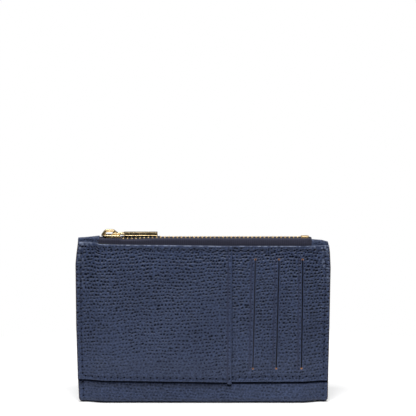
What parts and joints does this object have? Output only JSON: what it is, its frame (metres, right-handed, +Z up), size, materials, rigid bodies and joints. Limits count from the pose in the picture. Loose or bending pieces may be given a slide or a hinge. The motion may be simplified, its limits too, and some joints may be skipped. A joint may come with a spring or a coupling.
{
  "type": "card holder",
  "caption": "Slim upright leather pouch with a zipped coin compartment and upright card slots beside a cover panel on its front.",
  "frame": {"origin": "middle of the bottom, on the surface that the pouch stands on", "axes": "+X to the right along the zipper, -Y out of the front with the card slots, +Z up towards the zipper"},
  "size_m": [0.13, 0.0128, 0.0894],
  "materials": {
    "grained_leather": "pebbled grain, satin",
    "smooth_leather": "smooth, satin",
    "lining_cloth": "plain weave",
    "pocket_cloth": "plain weave",
    "stiffening_board": "fibre board",
    "sewing_thread": "twisted polyester",
    "zipper_tape": "ribbed weave",
    "gold_metal": "polished plate"
  },
  "bodies": {
    "pouch": {"outer_shell": "grained_leather", "slot_panel": "grained_leather", "cover_panel": "grained_leather", "zip_end_tab_left": "smooth_leather", "zip_end_tab_right": "smooth_leather", "coin_lining": "lining_cloth", "card_pocket_liner_inner": "pocket_cloth", "card_pocket_liner_middle": "pocket_cloth", "card_pocket_liner_outer": "pocket_cloth", "front_stiffener": "stiffening_board", "back_stiffener": "stiffening_board", "thread_side_left": "sewing_thread", "thread_side_right": "sewing_thread", "thread_panel_hem": "sewing_thread", "thread_mouth_front": "sewing_thread", "thread_mouth_back": "sewing_thread", "zip_top_stop_front": "gold_metal", "zip_top_stop_back": "gold_metal", "zip_bottom_stop": "gold_metal"},
    "slider": {"zip_slider_body": "gold_metal", "zip_slider_bridge": "gold_metal"},
    "pull": {"zip_pull": "gold_metal"},
    "mouth_front": {"zip_tape_front": "zipper_tape", "zip_teeth_front": "gold_metal"},
    "mouth_back": {"zip_tape_back": "zipper_tape", "zip_teeth_back": "gold_metal"}
  },
  "joints": [
    {"name": "zip_slide", "type": "slide", "parent": "pouch", "child": "slider", "axis": [1, 0, 0], "range_m": [0, 0.0915]},
    {"name": "pull_swing", "type": "hinge", "parent": "slider", "child": "pull", "pos_m": [-0.0463, 0.00137, 0.0874], "axis": [0, -1, 0], "range_deg": [0, 150]},
    {"name": "mouth_front_open", "type": "slide", "parent": "pouch", "child": "mouth_front", "axis": [0, -1, 0], "range_m": [0, 0.0045], "deforming": ["zip_tape_front", "zip_teeth_front"]},
    {"name": "mouth_back_open", "type": "slide", "parent": "pouch", "child": "mouth_back", "axis": [0, 1, 0], "range_m": [0, 0.0045], "deforming": ["zip_tape_back", "zip_teeth_back"]}
  ],
  "couplings": [
    {"joint": "mouth_front_open", "follows": "zip_slide", "ratio": 0.049},
    {"joint": "mouth_back_open", "follows": "zip_slide", "ratio": 0.049}
  ]
}
